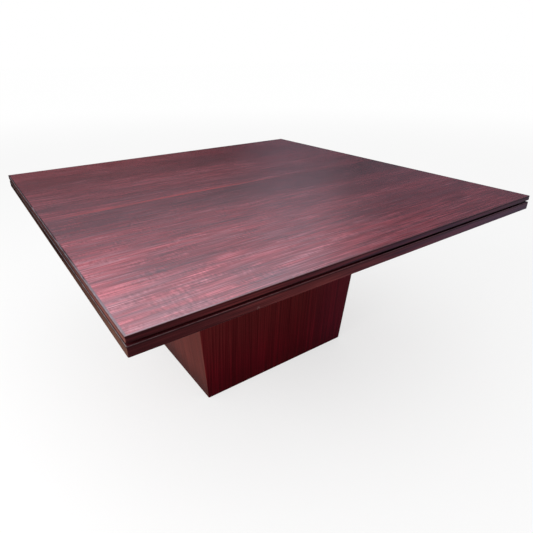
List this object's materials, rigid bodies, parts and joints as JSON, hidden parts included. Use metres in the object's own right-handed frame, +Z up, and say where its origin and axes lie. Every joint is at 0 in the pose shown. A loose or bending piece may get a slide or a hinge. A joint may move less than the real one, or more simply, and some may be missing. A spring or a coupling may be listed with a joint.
{
  "type": "dining table",
  "caption": "Square pedestal dining table: lacquered mahogany top with a recessed slot round its edge, on a hollow base whose sides lean outwards, with levelling feet.",
  "frame": {"origin": "on the floor under the middle of the table", "axes": "+Z up, +X along the grain of the top, front of the table towards -Y"},
  "size_m": [1.524, 1.524, 0.762],
  "materials": {
    "top_veneer": "satin lacquered mahogany veneer",
    "edge_mahogany": "dark stained mahogany, satin lacquer",
    "pedestal_veneer": "dark stained mahogany veneer, satin lacquer",
    "reveal_stain": "black stained, matt",
    "core_board": "raw board",
    "backing_veneer": "sealed veneer",
    "plywood": "raw plywood",
    "softwood": "raw planed wood",
    "beech": "raw turned wood",
    "zinc_steel": "zinc plated",
    "black_nylon": "moulded nylon"
  },
  "bodies": {
    "table": {"backing_veneer": "backing_veneer", "bearer_centre": "softwood", "bearer_dowels": "beech", "bearer_left": "softwood", "bearer_right": "softwood", "bearer_screws": "zinc_steel", "bolt_washers": "zinc_steel", "bottom_cleat_back": "softwood", "bottom_cleat_front": "softwood", "bottom_cleat_left": "softwood", "bottom_cleat_right": "softwood", "cleat_screws": "zinc_steel", "corner_post_back_left": "softwood", "corner_post_back_right": "softwood", "corner_post_front_left": "softwood", "corner_post_front_right": "softwood", "edge_lipping_back": "edge_mahogany", "edge_lipping_front": "edge_mahogany", "edge_lipping_left": "edge_mahogany", "edge_lipping_right": "edge_mahogany", "face_veneer": "top_veneer", "lower_rail_back": "edge_mahogany", "lower_rail_front": "edge_mahogany", "lower_rail_left": "edge_mahogany", "lower_rail_right": "edge_mahogany", "mitre_splines": "plywood", "pedestal_bolts": "zinc_steel", "pedestal_panel_back": "pedestal_veneer", "pedestal_panel_front": "pedestal_veneer", "pedestal_panel_left": "pedestal_veneer", "pedestal_panel_right": "pedestal_veneer", "pedestal_top_plate": "plywood", "rail_screws": "zinc_steel", "reveal_rail_back": "reveal_stain", "reveal_rail_front": "reveal_stain", "reveal_rail_left": "reveal_stain", "reveal_rail_right": "reveal_stain", "tee_nuts": "zinc_steel", "threaded_inserts": "zinc_steel", "top_cleat_back": "softwood", "top_cleat_front": "softwood", "top_cleat_left": "softwood", "top_cleat_right": "softwood", "top_core": "core_board"},
    "foot_pad_front_left": {"foot_pad_front_left": "black_nylon"},
    "foot_stem_front_left": {"foot_stem_front_left": "zinc_steel"},
    "foot_pad_front_right": {"foot_pad_front_right": "black_nylon"},
    "foot_stem_front_right": {"foot_stem_front_right": "zinc_steel"},
    "foot_pad_back_left": {"foot_pad_back_left": "black_nylon"},
    "foot_stem_back_left": {"foot_stem_back_left": "zinc_steel"},
    "foot_pad_back_right": {"foot_pad_back_right": "black_nylon"},
    "foot_stem_back_right": {"foot_stem_back_right": "zinc_steel"}
  },
  "joints": [
    {"name": "foot_travel_front_left", "type": "slide", "parent": "table", "child": "foot_pad_front_left", "axis": [0, 0, -1], "range_m": [0, 0.0125]},
    {"name": "foot_screw_front_left", "type": "hinge", "parent": "foot_pad_front_left", "child": "foot_stem_front_left", "pos_m": [-0.312, -0.202, 0.01], "axis": [0, 0, -1], "range_deg": [0, 2880]},
    {"name": "foot_travel_front_right", "type": "slide", "parent": "table", "child": "foot_pad_front_right", "axis": [0, 0, -1], "range_m": [0, 0.0125]},
    {"name": "foot_screw_front_right", "type": "hinge", "parent": "foot_pad_front_right", "child": "foot_stem_front_right", "pos_m": [0.312, -0.202, 0.01], "axis": [0, 0, -1], "range_deg": [0, 2880]},
    {"name": "foot_travel_back_left", "type": "slide", "parent": "table", "child": "foot_pad_back_left", "axis": [0, 0, -1], "range_m": [0, 0.0125]},
    {"name": "foot_screw_back_left", "type": "hinge", "parent": "foot_pad_back_left", "child": "foot_stem_back_left", "pos_m": [-0.312, 0.202, 0.01], "axis": [0, 0, -1], "range_deg": [0, 2880]},
    {"name": "foot_travel_back_right", "type": "slide", "parent": "table", "child": "foot_pad_back_right", "axis": [0, 0, -1], "range_m": [0, 0.0125]},
    {"name": "foot_screw_back_right", "type": "hinge", "parent": "foot_pad_back_right", "child": "foot_stem_back_right", "pos_m": [0.312, 0.202, 0.01], "axis": [0, 0, -1], "range_deg": [0, 2880]}
  ],
  "couplings": [
    {"joint": "foot_travel_front_left", "follows": "foot_screw_front_left", "m_per_rad": 0.00019894},
    {"joint": "foot_travel_front_right", "follows": "foot_screw_front_right", "m_per_rad": 0.00019894},
    {"joint": "foot_travel_back_left", "follows": "foot_screw_back_left", "m_per_rad": 0.00019894},
    {"joint": "foot_travel_back_right", "follows": "foot_screw_back_right", "m_per_rad": 0.00019894}
  ]
}
